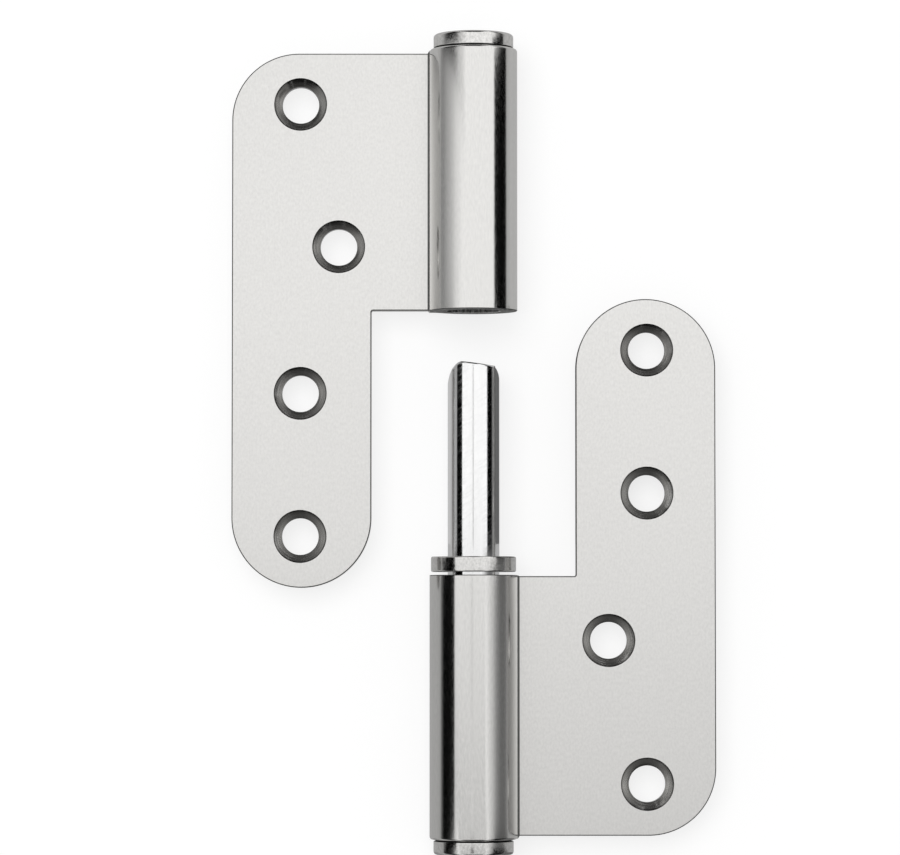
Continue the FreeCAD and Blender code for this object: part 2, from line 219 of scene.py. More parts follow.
def step_out(before, after, length):
    """Widen the picked end face from one radius to another, then pull it out along the pin."""
    factor = after / before
    pull(0, 0, 0)
    bpy.ops.transform.resize(value=(factor, 1, factor), center_override=(0, 0, AXIS_HEIGHT))
    pull(0, -length, 0)


def round_corner(x, y, radius, segments):
    pick("VERT", lambda v: near(v.co.x, x) and near(v.co.y, y))
    bpy.ops.mesh.bevel(offset=radius, segments=segments, affect="VERTICES", clamp_overlap=False)


def soften(width, segments):
    bpy.ops.mesh.bevel(offset=width, segments=segments, affect="EDGES", clamp_overlap=False)


def weld():
    everything()
    bpy.ops.mesh.remove_doubles(threshold=TINY)


def face_outwards():
    everything()
    bpy.ops.mesh.normals_make_consistent(inside=False)


def cut_with(piece, tool, operation, finishes):
    """Cut a piece with a tool, then throw the tool away."""
    work_on(piece)
    cut = piece.modifiers.new("cut", "BOOLEAN")
    cut.operation = operation
    cut.solver = "EXACT"
    cut.material_mode = finishes
    cut.object = tool
    bpy.ops.object.modifier_apply(modifier=cut.name)
    bpy.data.objects.remove(tool)


def turned_copy(piece, name):
    """Copy a piece with its own mesh and turn it end for end about the frame's origin."""
    work_on(piece)
    bpy.ops.object.duplicate(linked=False)
    bpy.ops.transform.rotate(value=math.pi, orient_axis="Z", center_override=(0, 0, 0))
    return settle(name)


def smooth_shading(piece):
    """Shade smoothly over shallow edges and let the big flat faces set the normals."""
    bpy.ops.object.shade_smooth_by_angle(angle=SMOOTH_BELOW)
    bpy.ops.object.modifier_add(type="WEIGHTED_NORMAL")
    piece.modifiers[-1].keep_sharp = True
    bpy.ops.object.modifier_apply(modifier=piece.modifiers[-1].name)


def open_edges(piece):
    """Count the edges that don't join exactly two faces: a closed skin has none."""
    mesh = bmesh.new()
    mesh.from_mesh(piece.data)
    count = sum(1 for edge in mesh.edges if len(edge.link_faces) != 2)
    mesh.free()
    return count


# %% [markdown]
# ## The finish of brushed steel
#
# The leaves are stainless sheet, brushed along the pin. The scratches are far too fine to model, so they go
# into the gloss. A brushed face blurs what it mirrors across the grain and keeps it sharper along the grain,
# which is anisotropy with the pin's direction as its tangent. A squeezed noise adds the few scratches that
# can be seen one by one. It reads Object coordinates, which are metres here, so a scale of 4000 is a scratch
# every quarter of a millimetre.

# %% Material helpers
NOISE_RANGE = (0.3, 0.7)


def new_material(name):
    material = bpy.data.materials.new(name)
    material.use_nodes = True
    tree = material.node_tree
    return material, tree, tree.nodes["Principled BSDF"]


def new_metal(name):
    material, tree, shader = new_material(name)
    shader.inputs["Metallic"].default_value = 1.0
    return material, tree, shader


def noise(tree, scale, detail=2.0, slope=0.0):
    """Noise with its own scale along each axis, per metre, and turned about Z by a slope."""
    place = tree.nodes.new("ShaderNodeTexCoord")
    stretch = tree.nodes.new("ShaderNodeMapping")
    stretch.vector_type = "TEXTURE"
    stretch.inputs["Rotation"].default_value = (0, 0, slope)
    stretch.inputs["Scale"].default_value = [1 / s for s in scale]
    texture = tree.nodes.new("ShaderNodeTexNoise")
    texture.inputs["Scale"].default_value = 1.0
    texture.inputs["Detail"].default_value = detail
    tree.links.new(place.outputs["Object"], stretch.inputs["Vector"])
    tree.links.new(stretch.outputs["Vector"], texture.inputs["Vector"])
    return texture.outputs["Fac"]


def steel(grey):
    """The grey of this steel, which is a touch warm."""
    return (grey, 0.990 * grey, 0.968 * grey)


def place_along(tree, axis):
    """How far along one axis a point of the piece lies, in metres."""
    place = tree.nodes.new("ShaderNodeTexCoord")
    split = tree.nodes.new("ShaderNodeSeparateXYZ")
    tree.links.new(place.outputs["Object"], split.inputs["Vector"])
    return split.outputs[axis]


def fade(tree, source, places, values):
    """Go from one value to another while the source goes from one place to another."""
    change = tree.nodes.new("ShaderNodeMapRange")
    change.inputs["From Min"].default_value = places[0]
    change.inputs["From Max"].default_value = places[1]
    change.inputs["To Min"].default_value = values[0]
    change.inputs["To Max"].default_value = values[1]
    tree.links.new(source, change.inputs["Value"])
    return change.outputs["Result"]


def span(tree, source, low, high):
    """Spread a noise, which stays near its middle, between two values."""
    return fade(tree, source, NOISE_RANGE, (low, high))


def tone(tree, source, dark, light):
    """Spread a noise between two greys."""
    ramp = tree.nodes.new("ShaderNodeValToRGB")
    ramp.color_ramp.elements[0].position = NOISE_RANGE[0]
    ramp.color_ramp.elements[1].position = NOISE_RANGE[1]
    ramp.color_ramp.elements[0].color = (*dark, 1)
    ramp.color_ramp.elements[1].color = (*light, 1)
    tree.links.new(source, ramp.inputs["Fac"])
    return ramp.outputs["Color"]


def bump(tree, shader, source, height):
    """Raise a pattern by a height in metres."""
    relief = tree.nodes.new("ShaderNodeBump")
    relief.inputs["Strength"].default_value = 1.0
    relief.inputs["Distance"].default_value = height
    tree.links.new(source, relief.inputs["Height"])
    tree.links.new(relief.outputs["Normal"], shader.inputs["Normal"])


# %% [markdown]
# ## Brushed leaves and polished knuckles
#
# The leaves keep their brushed face, cloudy and scratched along the pin. The knuckles are polished after
# rolling, so they mirror the room far more sharply and need no tangent.

# %% Brushed sheet and polished knuckle
def along_pin(tree, shader):
    """Point the shader's tangent along the pin on every face that the pin lies level with."""
    grain = tree.nodes.new("ShaderNodeTangent")
    grain.direction_type = "RADIAL"
    grain.axis = "X"
    tree.links.new(grain.outputs["Tangent"], shader.inputs["Tangent"])


def brushed_sheet():
    material, tree, shader = new_metal("brushed_sheet")
    shader.inputs["Anisotropic"].default_value = 0.6
    shader.inputs["Anisotropic Rotation"].default_value = 0.25
    along_pin(tree, shader)
    cloud = noise(tree, (2600, 1500, 2600), detail=6)
    scratch = noise(tree, (4200, 900, 4200))
    tree.links.new(tone(tree, cloud, steel(0.80), steel(0.88)), shader.inputs["Base Color"])
    tree.links.new(span(tree, scratch, 0.28, 0.36), shader.inputs["Roughness"])
    bump(tree, shader, scratch, 0.0012 * MM)
    return material


def polished_knuckle():
    material, tree, shader = new_metal("polished_knuckle")
    grain = noise(tree, (4200, 900, 4200), detail=3)
    tree.links.new(tone(tree, grain, steel(0.76), steel(0.83)), shader.inputs["Base Color"])
    tree.links.new(span(tree, grain, 0.10, 0.17), shader.inputs["Roughness"])
    bump(tree, shader, grain, 0.0012 * MM)
    return material


# %% [markdown]
# ## Rough and turned faces
#
# The countersinks are cut by a tool, so they are darker than the sheet and show fine rings. On a cone, a ring
# is a step in height, so bands along Z draw rings round every hole at once, with a ring of painted shade at
# the rim. The walls that face down the hinge are darkened too, as painted shade. Each leaf carries that
# facing as an attribute of its own, which is written once its faces are final. The sawn end of the knuckle
# and the inside of its bore are left rough, and their near-black colour is partly painted shade. The line of
# the root and the broken edges get a dark line of painted shade. The outline is sheared, with streaks that
# run through the thickness. The grooves are painted black as shade.

# %% Countersinks, sawn ends and sheared edges
UPWARD = "upward"
# Painted shade of the countersinks: at the rim, and on the walls that face down the hinge.
RIM_SHADE_FADE = (LEAF_FACE - 0.30 * MM, LEAF_FACE - 0.14 * MM)
RIM_SHADE = 0.30
DOWN_HINGE_SHADE_FADE = (-0.70, 0.10)
DOWN_HINGE_SHADE = 0.16


def cut_by_tool():
    material, tree, shader = new_metal("countersunk_steel")
    rings = noise(tree, (260, 260, 5200), detail=4)
    tree.links.new(span(tree, rings, 0.12, 0.24), shader.inputs["Roughness"])
    bump(tree, shader, rings, 0.006 * MM)

    # Painted shade: the base colour darkens at the rim and on the walls that face down the hinge.
    rim = fade(tree, place_along(tree, "Z"), RIM_SHADE_FADE, (1.0, RIM_SHADE))
    upward = tree.nodes.new("ShaderNodeAttribute")
    upward.attribute_name = UPWARD
    down_hinge_shade = fade(tree, upward.outputs["Fac"], DOWN_HINGE_SHADE_FADE, (DOWN_HINGE_SHADE, 1.0))
    both = tree.nodes.new("ShaderNodeMath")
    both.operation = "MULTIPLY"
    darker = tree.nodes.new("ShaderNodeVectorMath")
    darker.operation = "SCALE"
    tree.links.new(rim, both.inputs[0])
    tree.links.new(down_hinge_shade, both.inputs[1])
    tree.links.new(tone(tree, rings, steel(0.45), steel(0.85)), darker.inputs[0])
    tree.links.new(both.outputs["Value"], darker.inputs["Scale"])
    tree.links.new(darker.outputs["Vector"], shader.inputs["Base Color"])
    return material


def sawn_and_shaded_steel():
    material, tree, shader = new_material("sawn_and_shaded_steel")
    shader.inputs["Metallic"].default_value = 0.5
    shader.inputs["Specular IOR Level"].default_value = 0.1
    marks = noise(tree, (2600, 900, 700), detail=5)
    # The near-black end of this tone is partly painted shade, for the bore and the mouth.
    tree.links.new(tone(tree, marks, steel(0.0), steel(0.34)), shader.inputs["Base Color"])
    tree.links.new(span(tree, marks, 0.45, 0.65), shader.inputs["Roughness"])
    bump(tree, shader, marks, 0.03 * MM)
    return material


def painted_shade_line():
    material, tree, shader = new_metal("painted_shade_line")
    shade_mottle = noise(tree, (300, 60, 300))
    # Painted shade: a near-black line for the crease beside the knuckle and for the dark edge lines.
    tree.links.new(tone(tree, shade_mottle, steel(0.10), steel(0.17)), shader.inputs["Base Color"])
    shader.inputs["Roughness"].default_value = 0.45
    return material


def painted_groove_shade():
    material, _, shader = new_material("painted_groove_shade")
    # Painted shade: the plug's groove is coloured near black.
    shader.inputs["Base Color"].default_value = (0.012, 0.012, 0.012, 1)
    shader.inputs["Specular IOR Level"].default_value = 0.1
    shader.inputs["Roughness"].default_value = 0.7
    return material


def sheared_steel():
    material, tree, shader = new_metal("sheared_steel")
    streaks = noise(tree, (2600, 2600, 160), detail=3)
    tree.links.new(tone(tree, streaks, steel(0.48), steel(0.66)), shader.inputs["Base Color"])
    tree.links.new(span(tree, streaks, 0.30, 0.46), shader.inputs["Roughness"])
    bump(tree, shader, streaks, 0.012 * MM)
    return material


# %% [markdown]
# ## The polished pin, the washer and the plugs
#
# The pin is ground and polished, so it mirrors the room in hard bands. Turned pieces carry faint rings across
# their axis, which is Y here, so their noise is fine along Y and slow across.

# %% Pin and turned pieces
def polished_pin():
    material, tree, shader = new_metal("polished_pin")
    wear = noise(tree, (1500, 200, 1500), detail=4)
    grinding = noise(tree, (500, 3800, 500), detail=4, slope=math.radians(32))
    tree.links.new(tone(tree, wear, (0.95,) * 3, (0.99,) * 3), shader.inputs["Base Color"])
    tree.links.new(span(tree, grinding, 0.02, 0.20), shader.inputs["Roughness"])
    bump(tree, shader, wear, 0.0012 * MM)
    return material


def turned_steel():
    material, tree, shader = new_metal("turned_steel")
    rings = noise(tree, (160, 3600, 160), detail=3)
    mottle = noise(tree, (2200, 1600, 2200), detail=6)
    tree.links.new(tone(tree, mottle, steel(0.68), steel(0.88)), shader.inputs["Base Color"])
    tree.links.new(span(tree, mottle, 0.07, 0.20), shader.inputs["Roughness"])
    bump(tree, shader, rings, 0.003 * MM)
    return material


SHEET = brushed_sheet()
ROLLED = polished_knuckle()
SINK = cut_by_tool()
SAWN_AND_SHADED = sawn_and_shaded_steel()
SHEARED = sheared_steel()
GROOVE_SHADE = painted_groove_shade()
SHADED_LINE = painted_shade_line()
POLISHED = polished_pin()
TURNED = turned_steel()

# %% [markdown]
# ## Cutting the blank
#
# A leaf starts as a flat blank. One plane is cut twice and the notch's quarter is thrown away, which leaves
# an L. Bevelling single corners of a flat face rounds them to true arcs, so the tongue's full round is two
# corners bevelled by half its width. Then the face is extruded to the gauge of the sheet.
#
# Two more cuts run along the root. One is a hair from it, so that the strip to be rolled can be drawn out a
# little past the leaf at both ends, as a press does. The other marks the strip beside the knuckle that gets a
# dark line of painted shade.

# %% The L-shaped blank
TONGUE_WIDTH = 26.6 * MM
CORNER = 12.8 * MM
NOTCH_CORNER = 0.3 * MM
TONGUE_EDGE = REACH - TONGUE_WIDTH
NOTCH_STEP = 0.2 * MM
NOTCH_EDGE = OPEN_END - NOTCH_STEP
HAIR = 0.03 * MM
# The width of the strip beside the root that gets a dark line of painted shade.
SHADE_STRIP = 0.38 * MM


def cut_across(x):
    everything()
    bpy.ops.mesh.bisect(plane_co=(x, 0, 0), plane_no=(1, 0, 0))


def draw_out(y, distance):
    """Move the root's corners at one end past the leaf."""
    pick("VERT", lambda v: near(v.co.x, ROOT) and near(v.co.y, y))
    bpy.ops.transform.translate(value=(0, distance, 0))


def cut_blank():
    width = REACH - ROOT
    height = TONGUE_END - LEAF_FOOT
    centre = (ROOT + width / 2, LEAF_FOOT + height / 2, LEAF_BACK)
    leaf = flat_shape("frame_leaf_sheet", centre, width, height)
    edit()
    cut_across(TONGUE_EDGE)
    everything()
    bpy.ops.mesh.bisect(plane_co=(0, NOTCH_EDGE, 0), plane_no=(0, 1, 0))
    pick("FACE", lambda f: f.calc_center_median().x < TONGUE_EDGE and f.calc_center_median().y > NOTCH_EDGE)
    bpy.ops.mesh.delete(type="FACE")
    everything()
    bpy.ops.mesh.dissolve_limited(angle_limit=math.radians(1))

    round_corner(REACH, LEAF_FOOT, CORNER, 32)
    round_corner(REACH, TONGUE_END, TONGUE_WIDTH / 2, 40)
    round_corner(TONGUE_EDGE, TONGUE_END, TONGUE_WIDTH / 2, 40)
    round_corner(TONGUE_EDGE, NOTCH_EDGE, NOTCH_CORNER, 4)
    weld()
    cut_across(ROOT + HAIR)
    cut_across(ROOT + SHADE_STRIP)

    everything()
    pull(0, 0, GAUGE)
    draw_out(LEAF_FOOT, -PROUD)
    draw_out(NOTCH_EDGE, NOTCH_STEP)
    face_outwards()
    done()
    print("blank:", len(leaf.data.vertices), "vertices,", open_edges(leaf), "open edges")
    return leaf


leaf = cut_blank()

# %% [markdown]
# ## Rolling the knuckle
#
# The real sheet is first bent back a little and then pressed round a mandrel until its cut end meets the
# leaf again. Spin does the same. It takes the narrow face at the root and sweeps it round the small bend's
# centre one way, then round the pin's axis the other way. The first turn ends where the two circles touch.
# The second ends where the sheet's corner would touch the leaf. Last, the cut end is pressed flat, so that it
# lies along the leaf's face.

# %% The rolled knuckle
SEAM = 0.1 * MM
BEND_STEPS = 16
BEND_TURN = math.atan2(ROOT, AXIS_HEIGHT - BEND_HEIGHT)
LIP_TURN = math.asin((CLOSED_GAP / 2 - SEAM) / KNUCKLE_RADIUS)
CURL = math.radians(270) + BEND_TURN + LIP_TURN


def roll_knuckle(leaf):
    edit()
    pick("FACE", lambda f: near(f.calc_center_median().x, ROOT) and abs(f.normal.x) > UPRIGHT)
    bpy.ops.mesh.spin(steps=BEND_STEPS, angle=BEND_TURN, center=(ROOT, 0, BEND_HEIGHT), axis=(0, 1, 0))
    bpy.ops.mesh.spin(steps=STEPS, angle=CURL, center=(0, 0, AXIS_HEIGHT), axis=(0, -1, 0))
    bpy.ops.transform.resize(value=(1, 1, 0), center_override=(0, 0, LEAF_FACE + SEAM))
    weld()
    face_outwards()
    done()
    print(f"knuckle rolled {math.degrees(CURL):.1f} degrees,", open_edges(leaf), "open edges")


roll_knuckle(leaf)

# %% [markdown]
# ## Soft edges
#
# Sheared sheet has one soft edge, where the blade went in, and one crisp edge with its burr knocked off. The
# soft edge faces the back here and runs on round the outside of the knuckle's closed end. Bevels of
# different widths give the kinds of edge, and each catches its own thin line of light.

# %% Break the edges
ROLLED_EDGE = 0.5 * MM
BROKEN_EDGE = 0.2 * MM
MOUTH_EDGE = 0.15 * MM


def soften_leaf():
    edit()

    def on_leaf(p):
        return p.x > ROOT + HAIR - TINY

    def outside(p):
        return near(from_axis(p), KNUCKLE_RADIUS) or (near(from_bend(p), ROOT_BEND) and p.x < ROOT + TINY)

    def back(edge):
        return is_sharp(edge) and ends_at(edge, lambda p: near(p.z, LEAF_BACK) and on_leaf(p))

    def shoulder(edge):
        return is_sharp(edge) and ends_at(edge, lambda p: near(p.y, CAP_END) and outside(p))

    def front(edge):
        return is_sharp(edge) and ends_at(edge, lambda p: near(p.z, LEAF_FACE) and on_leaf(p))

    def mouth(edge):
        rim = ends_at(edge, outside) or ends_at(edge, lambda p: near(from_axis(p), BORE_RADIUS))
        return is_sharp(edge) and rim and ends_at(edge, lambda p: near(p.y, OPEN_END))

    picked = []
    for wanted, width, segments in (
        (back, ROLLED_EDGE, 4),
        (shoulder, ROLLED_EDGE, 4),
        (front, BROKEN_EDGE, 3),
        (mouth, MOUTH_EDGE, 2),
    ):
        picked.append(pick("EDGE", wanted))
        soften(width, segments)
    done()
    print("edges softened:", picked, "open edges:", open_edges(leaf))


soften_leaf()

# %% [markdown]
# ## Screw holes
#
# Each leaf has four countersunk holes, three in line and one stepped in towards the pin. The cutter is a
# cylinder whose top face is extruded and widened into the 90 degree cone, then carried straight up. A hair of
# that straight wall is left below the leaf's face, and the thin dark ring round a countersink is painted
# shade in the cone's colour, darkest at that rim.
# All four cutters are subtracted at once, and the cut faces keep the cutter's own finish.

# %% Drill and countersink
HOLE_STEPS = 96
HOLE_RADIUS = 3.5 * MM
SINK_RADIUS = 5.05 * MM
RING = 0.06 * MM
HOLE_LINE = 33.0 * MM
STAGGER = 7.3 * MM
END_DISTANCE = 9.75 * MM
INNER_PITCH = 28.0 * MM
OVERRUN = 1.0 * MM
LEAF_MIDDLE = (LEAF_FOOT + TONGUE_END) / 2
HOLES = [
    (HOLE_LINE, LEAF_FOOT + END_DISTANCE),
    (HOLE_LINE - STAGGER, LEAF_MIDDLE - INNER_PITCH / 2),
    (HOLE_LINE, LEAF_MIDDLE + INNER_PITCH / 2),
    (HOLE_LINE, TONGUE_END - END_DISTANCE),
]


def widen(rise, radius, before, x, y):
    """Extrude the cutter's top face upwards and open it from one radius to another."""
    pull(0, 0, rise)
    factor = radius / before
    bpy.ops.transform.resize(value=(factor, factor, 1), center_override=(x, y, 0))


def hole_cutter(x, y):
    nothing_selected()
    sink_depth = SINK_RADIUS - HOLE_RADIUS
    straight = GAUGE - sink_depth + OVERRUN
    middle_z = LEAF_BACK - OVERRUN + straight / 2
    bpy.ops.mesh.primitive_cylinder_add(
        vertices=HOLE_STEPS, radius=HOLE_RADIUS, depth=straight, location=(x, y, middle_z)
    )
    cutter = settle("hole_cutter")
    cutter.data.materials.append(SINK)
    edit()
    pick("FACE", lambda f: f.normal.z > UPRIGHT)
    widen(sink_depth - RING, SINK_RADIUS - RING, HOLE_RADIUS, x, y)
    widen(RING, SINK_RADIUS, SINK_RADIUS - RING, x, y)
    widen(OVERRUN, SINK_RADIUS, SINK_RADIUS, x, y)
    done()
    return cutter


def drill(leaf):
    leaf.data.materials.append(SHEET)
    cutters = [hole_cutter(x, y) for x, y in HOLES]
    work_on(cutters[0])
    for cutter in cutters:
        cutter.select_set(True)
    bpy.ops.object.join()
    cut_with(leaf, cutters[0], "DIFFERENCE", "TRANSFER")
    print("drilled:", len(leaf.data.polygons), "faces,", open_edges(leaf), "open edges")


drill(leaf)

# %% [markdown]
# ## Finish of each face, and the second leaf
#
# The knuckle's outside is polished, its cut ends and its bore are rough, with a near black that is partly
# painted shade, and the outline is sheared. The line of the root and the broken edges of the outline and the
# mouth get a dark line of painted shade. Each finish is a material slot, given to the faces that a test
# picks. The flat faces are split into triangles first, which keeps their shading even round the holes.
#
# The door leaf is the same part turned end for end. It is copied with its own mesh and turned half a turn
# about the middle of the hinge, which is the frame's origin. Only then does each leaf's attribute say which
# of its faces look up the hinge.

# %% Paint the faces and copy the leaf
TILTED = 0.2
LEVEL = 0.98
BORE_SKIN = 0.1 * MM


def paint(piece, finish, wanted):
    """Give a finish to the faces that a test accepts."""
    piece.data.materials.append(finish)
    edit()
    count = pick("FACE", wanted)
    piece.active_material_index = len(piece.data.materials) - 1
    bpy.ops.object.material_slot_assign()
    done()
    print(f"{finish.name}: {count} faces")


def in_knuckle(face):
    return all(v.co.x < ROOT + TINY for v in face.verts)


def rough(face):
    middle = face.calc_center_median()
    in_bore = all(from_axis(v.co) < BORE_RADIUS + BORE_SKIN for v in face.verts)
    end = near(middle.y, OPEN_END) or near(middle.y, CAP_END)
    return in_knuckle(face) and (in_bore or (end and abs(face.normal.y) > UPRIGHT))


def sheared(face):
    return not in_knuckle(face) and face.material_index == 0 and abs(face.normal.z) < TILTED


def mouth_rim(face):
    outer = all(from_axis(v.co) > BORE_RADIUS + GAUGE / 2 for v in face.verts)
    at_end = face.calc_center_median().y > OPEN_END - MOUTH_EDGE
    return in_knuckle(face) and outer and at_end and TILTED < face.normal.y < LEVEL


# Faces that get the dark line of painted shade: the strip beside the root, the broken edges and the mouth's
# rim.
def gets_painted_shade(face):
    beside = face.calc_center_median().x < ROOT + SHADE_STRIP and face.normal.z > UPRIGHT
    broken = face.material_index == 0 and TILTED < face.normal.z < LEVEL
    return mouth_rim(face) or (not in_knuckle(face) and (beside or broken))


def split_flats(leaf):
    edit()
    pick("FACE", lambda f: abs(f.normal.z) > 0.999 and len(f.verts) > 4)
    bpy.ops.mesh.quads_convert_to_tris(quad_method="BEAUTY", ngon_method="BEAUTY")
    done()


split_flats(leaf)
paint(leaf, ROLLED, in_knuckle)
# The sawn ends and the bore get a near black that is partly painted shade.
paint(leaf, SAWN_AND_SHADED, rough)
paint(leaf, SHEARED, sheared)
# The root strip, the broken edges and the mouth rim get a painted dark line of shade.
paint(leaf, SHADED_LINE, gets_painted_shade)


def mark_upward(piece):
    """Write into each face how far it looks up the hinge, for the painted shade on the countersinks."""
    upward = piece.data.attributes.new(UPWARD, "FLOAT", "FACE")
    for face in piece.data.polygons:
        upward.data[face.index].value = face.normal.y


smooth_shading(leaf)
door_leaf = turned_copy(leaf, "door_leaf_sheet")
mark_upward(leaf)
mark_upward(door_leaf)
print("door leaf reaches x =", round(min(v.co.x for v in door_leaf.data.vertices) / MM, 2), "mm")

# %% [markdown]
# ## The pin
#
# The pin is a round bar pressed into the frame knuckle. Its top was ground by hand: the two sides are drawn
# in along a quarter of an ellipse, and the crown slants down to the right. That outline is drawn as a flat
# shape seen from above, with round corners that are then stretched into ellipses, the left one more. It is
# extruded into a block, and the bar keeps only what lies inside the block.

# %% Turn and grind the pin
PIN_RADIUS = 4.9 * MM
LEFT_SHOULDER = 5.2 * MM
RIGHT_SHOULDER = 3.8 * MM
TIP_DRAWN = 2.8 * MM
TIP_WORN = 0.25 * MM
TIP_RIM = 0.4 * MM
SLANT = math.radians(8)
SLANT_START = 1.9 * MM
BESIDE_PIN = 0.05 * MM
PIN_TOP = pin_high.y
PIN_FOOT = pin_low.y


def tip_block():
    """The block that the pin's tip is ground down to."""
    half = PIN_RADIUS + BESIDE_PIN
    top = PIN_TOP - TIP_WORN
    length = top - OPEN_END + OVERRUN
    block = flat_shape("tip_block", (0, top - length / 2, 0), 2 * half, length)
    edit()
    round_corner(-half, top, TIP_DRAWN, 24)
    round_corner(half, top, TIP_DRAWN, 24)
    for side, shoulder in ((-1, LEFT_SHOULDER), (1, RIGHT_SHOULDER)):
        pick("VERT", lambda v: v.co.x * side > 0 and v.co.y > top - TIP_DRAWN - TINY)
        bpy.ops.transform.resize(value=(1, shoulder / TIP_DRAWN, 1), center_override=(0, top, 0))
    everything()
    bpy.ops.mesh.bisect(
        plane_co=(-SLANT_START, top, 0),
        plane_no=(math.sin(SLANT), math.cos(SLANT), 0),
        clear_outer=True,
    )
    everything()
    pull(0, 0, 2 * AXIS_HEIGHT)
    face_outwards()
    done()
    return block


def make_pin():
    pin = round_bar("polished_hinge_pin", PIN_RADIUS, OPEN_END, PIN_TOP)
    cut_with(pin, tip_block(), "INTERSECT", "INDEX")
    edit()
    pick("EDGE", lambda e: is_sharp(e) and ends_at(e, lambda p: p.y > PIN_TOP - LEFT_SHOULDER))
    soften(TIP_RIM, 3)
    pick("FACE", lambda f: f.normal.y < -UPRIGHT)
    step_out(PIN_RADIUS, BORE_RADIUS, OPEN_END - PIN_FOOT)
    face_outwards()
    done()
    pin.data.materials.append(POLISHED)
    smooth_shading(pin)
    print("pin:", len(pin.data.polygons), "faces,", open_edges(pin), "open edges")
    return pin


pin = make_pin()

# %% [markdown]
# ## The washer
#
# A ring is easiest as a lathe job: its cross-section, with rounded outer corners, is spun once round the
# pin. The plane lies in the section through the axis, and only its outline is spun, so the ring is hollow in
# the middle and closed all round.

# %% Spin the washer
WASHER_BORE = 5.0 * MM
WASHER_ROUND = 0.3 * MM


def make_washer():
    outer = washer_high.x
    thick = washer_high.y - washer_low.y
    centre = ((outer + WASHER_BORE) / 2, washer_low.y + thick / 2, AXIS_HEIGHT)
    washer = flat_shape("turned_washer", centre, outer - WASHER_BORE, thick)
    edit()
    round_corner(outer, washer_low.y, WASHER_ROUND, 5)
    round_corner(outer, washer_high.y, WASHER_ROUND, 5)
    everything()
    bpy.ops.mesh.delete(type="ONLY_FACE")
    everything()
    bpy.ops.mesh.spin(steps=STEPS, angle=2 * math.pi, center=(0, 0, AXIS_HEIGHT), axis=(0, 1, 0))
    weld()
    face_outwards()
    done()
    washer.data.materials.append(TURNED)
    smooth_shading(washer)
    print("washer:", len(washer.data.polygons), "faces,", open_edges(washer), "open edges")
    return washer


washer = make_washer()

# %% [markdown]
# ## The end plugs
#
# Each knuckle is closed by a turned plug: a short spigot pressed into the bore, a narrow neck that shows as a
# dark groove, coloured near black as painted shade, and a head slightly narrower than the knuckle. The spigot
# is a cylinder. Its outer face is widened and pulled out into the neck, and then again into the head. The
# same plug, turned end for end, closes the door knuckle.

# %% Turn the plugs
CAP_RADIUS = cap_high.x
NECK_STEP = 0.7 * MM
NECK_RADIUS = CAP_RADIUS - NECK_STEP
GROOVE = 0.3 * MM
CAP_ROUND = 0.6 * MM
CAP_BREAK = 0.15 * MM


def in_groove(face):
    return all(CAP_END - GROOVE - TINY < v.co.y < CAP_END + TINY for v in face.verts)


def make_cap():
    head = CAP_END - cap_low.y
    cap = round_bar("frame_plug", BORE_RADIUS, CAP_END, cap_high.y)
    edit()
    pick("FACE", lambda f: f.normal.y < -UPRIGHT)
    step_out(BORE_RADIUS, NECK_RADIUS, GROOVE)
    step_out(NECK_RADIUS, CAP_RADIUS, head - GROOVE)
    pick("EDGE", lambda e: ends_at(e, lambda p: near(p.y, cap_low.y)))
    soften(CAP_ROUND, 7)
    seat = CAP_END - GROOVE
    pick("EDGE", lambda e: ends_at(e, lambda p: near(p.y, seat) and near(from_axis(p), CAP_RADIUS)))
    soften(CAP_BREAK, 2)
    face_outwards()
    done()
    cap.data.materials.append(TURNED)
    # The groove is painted near black as shade.
    paint(cap, GROOVE_SHADE, in_groove)
    smooth_shading(cap)
    print("plug:", len(cap.data.polygons), "faces,", open_edges(cap), "open edges")
    return cap


frame_cap = make_cap()
door_cap = turned_copy(frame_cap, "door_plug")

# %% [markdown]
# ## Which piece moves with what
#
# Every piece rides on a body of the frame and stands for the imported node that it covers. The washer turns
# with the door half, and the door half slides on it.

# %% Ride and replace, with a finish name that nothing reads
for piece, body, node, finish in (
    (leaf, "frame_half", "frame_leaf", "brushed_steel"),
    (pin, "frame_half", "hinge_pin", "bright_steel"),
    (frame_cap, "frame_half", "frame_cap", "turned_steel"),
    (washer, "washer", "bearing_washer", "turned_steel"),
    (door_leaf, "door_half", "door_leaf", "brushed_steel"),
    (door_cap, "door_half", "door_cap", "turned_steel"),
):
    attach(piece, body)
    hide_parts(node)

# %% [markdown]
# ## The table, the cards and the light
#
# Metal shows only what is around it. A bright dome alone would make the knuckles look like white plastic, so
# a photographer stands dark and grey cards at each side of the table, and each round piece mirrors them as
# bands. The cards here are seen by reflections only. They shade nothing and no camera sees them.
#
# The table is white to the camera and to reflections, mostly by its own glow, so that the hinge's shadow on
# it stays faint. To every other ray it is a plain white board.

# %% Floor
FLOOR_SIZE = 4.0
FLOOR_WHITE = 0.80
FLOOR_GLOW = 0.74
FLOOR_SHADE = 0.29


def rays_that_show(tree):
    """One for rays that show the background: those of the camera, of reflections and through glass."""
    path = tree.nodes.new("ShaderNodeLightPath")
    first = tree.nodes.new("ShaderNodeMath")
    second = tree.nodes.new("ShaderNodeMath")
    first.operation = "MAXIMUM"
    second.operation = "MAXIMUM"
    tree.links.new(path.outputs["Is Camera Ray"], first.inputs[0])
    tree.links.new(path.outputs["Is Glossy Ray"], first.inputs[1])
    tree.links.new(first.outputs[0], second.inputs[0])
    tree.links.new(path.outputs["Is Transmission Ray"], second.inputs[1])
    return second.outputs[0]


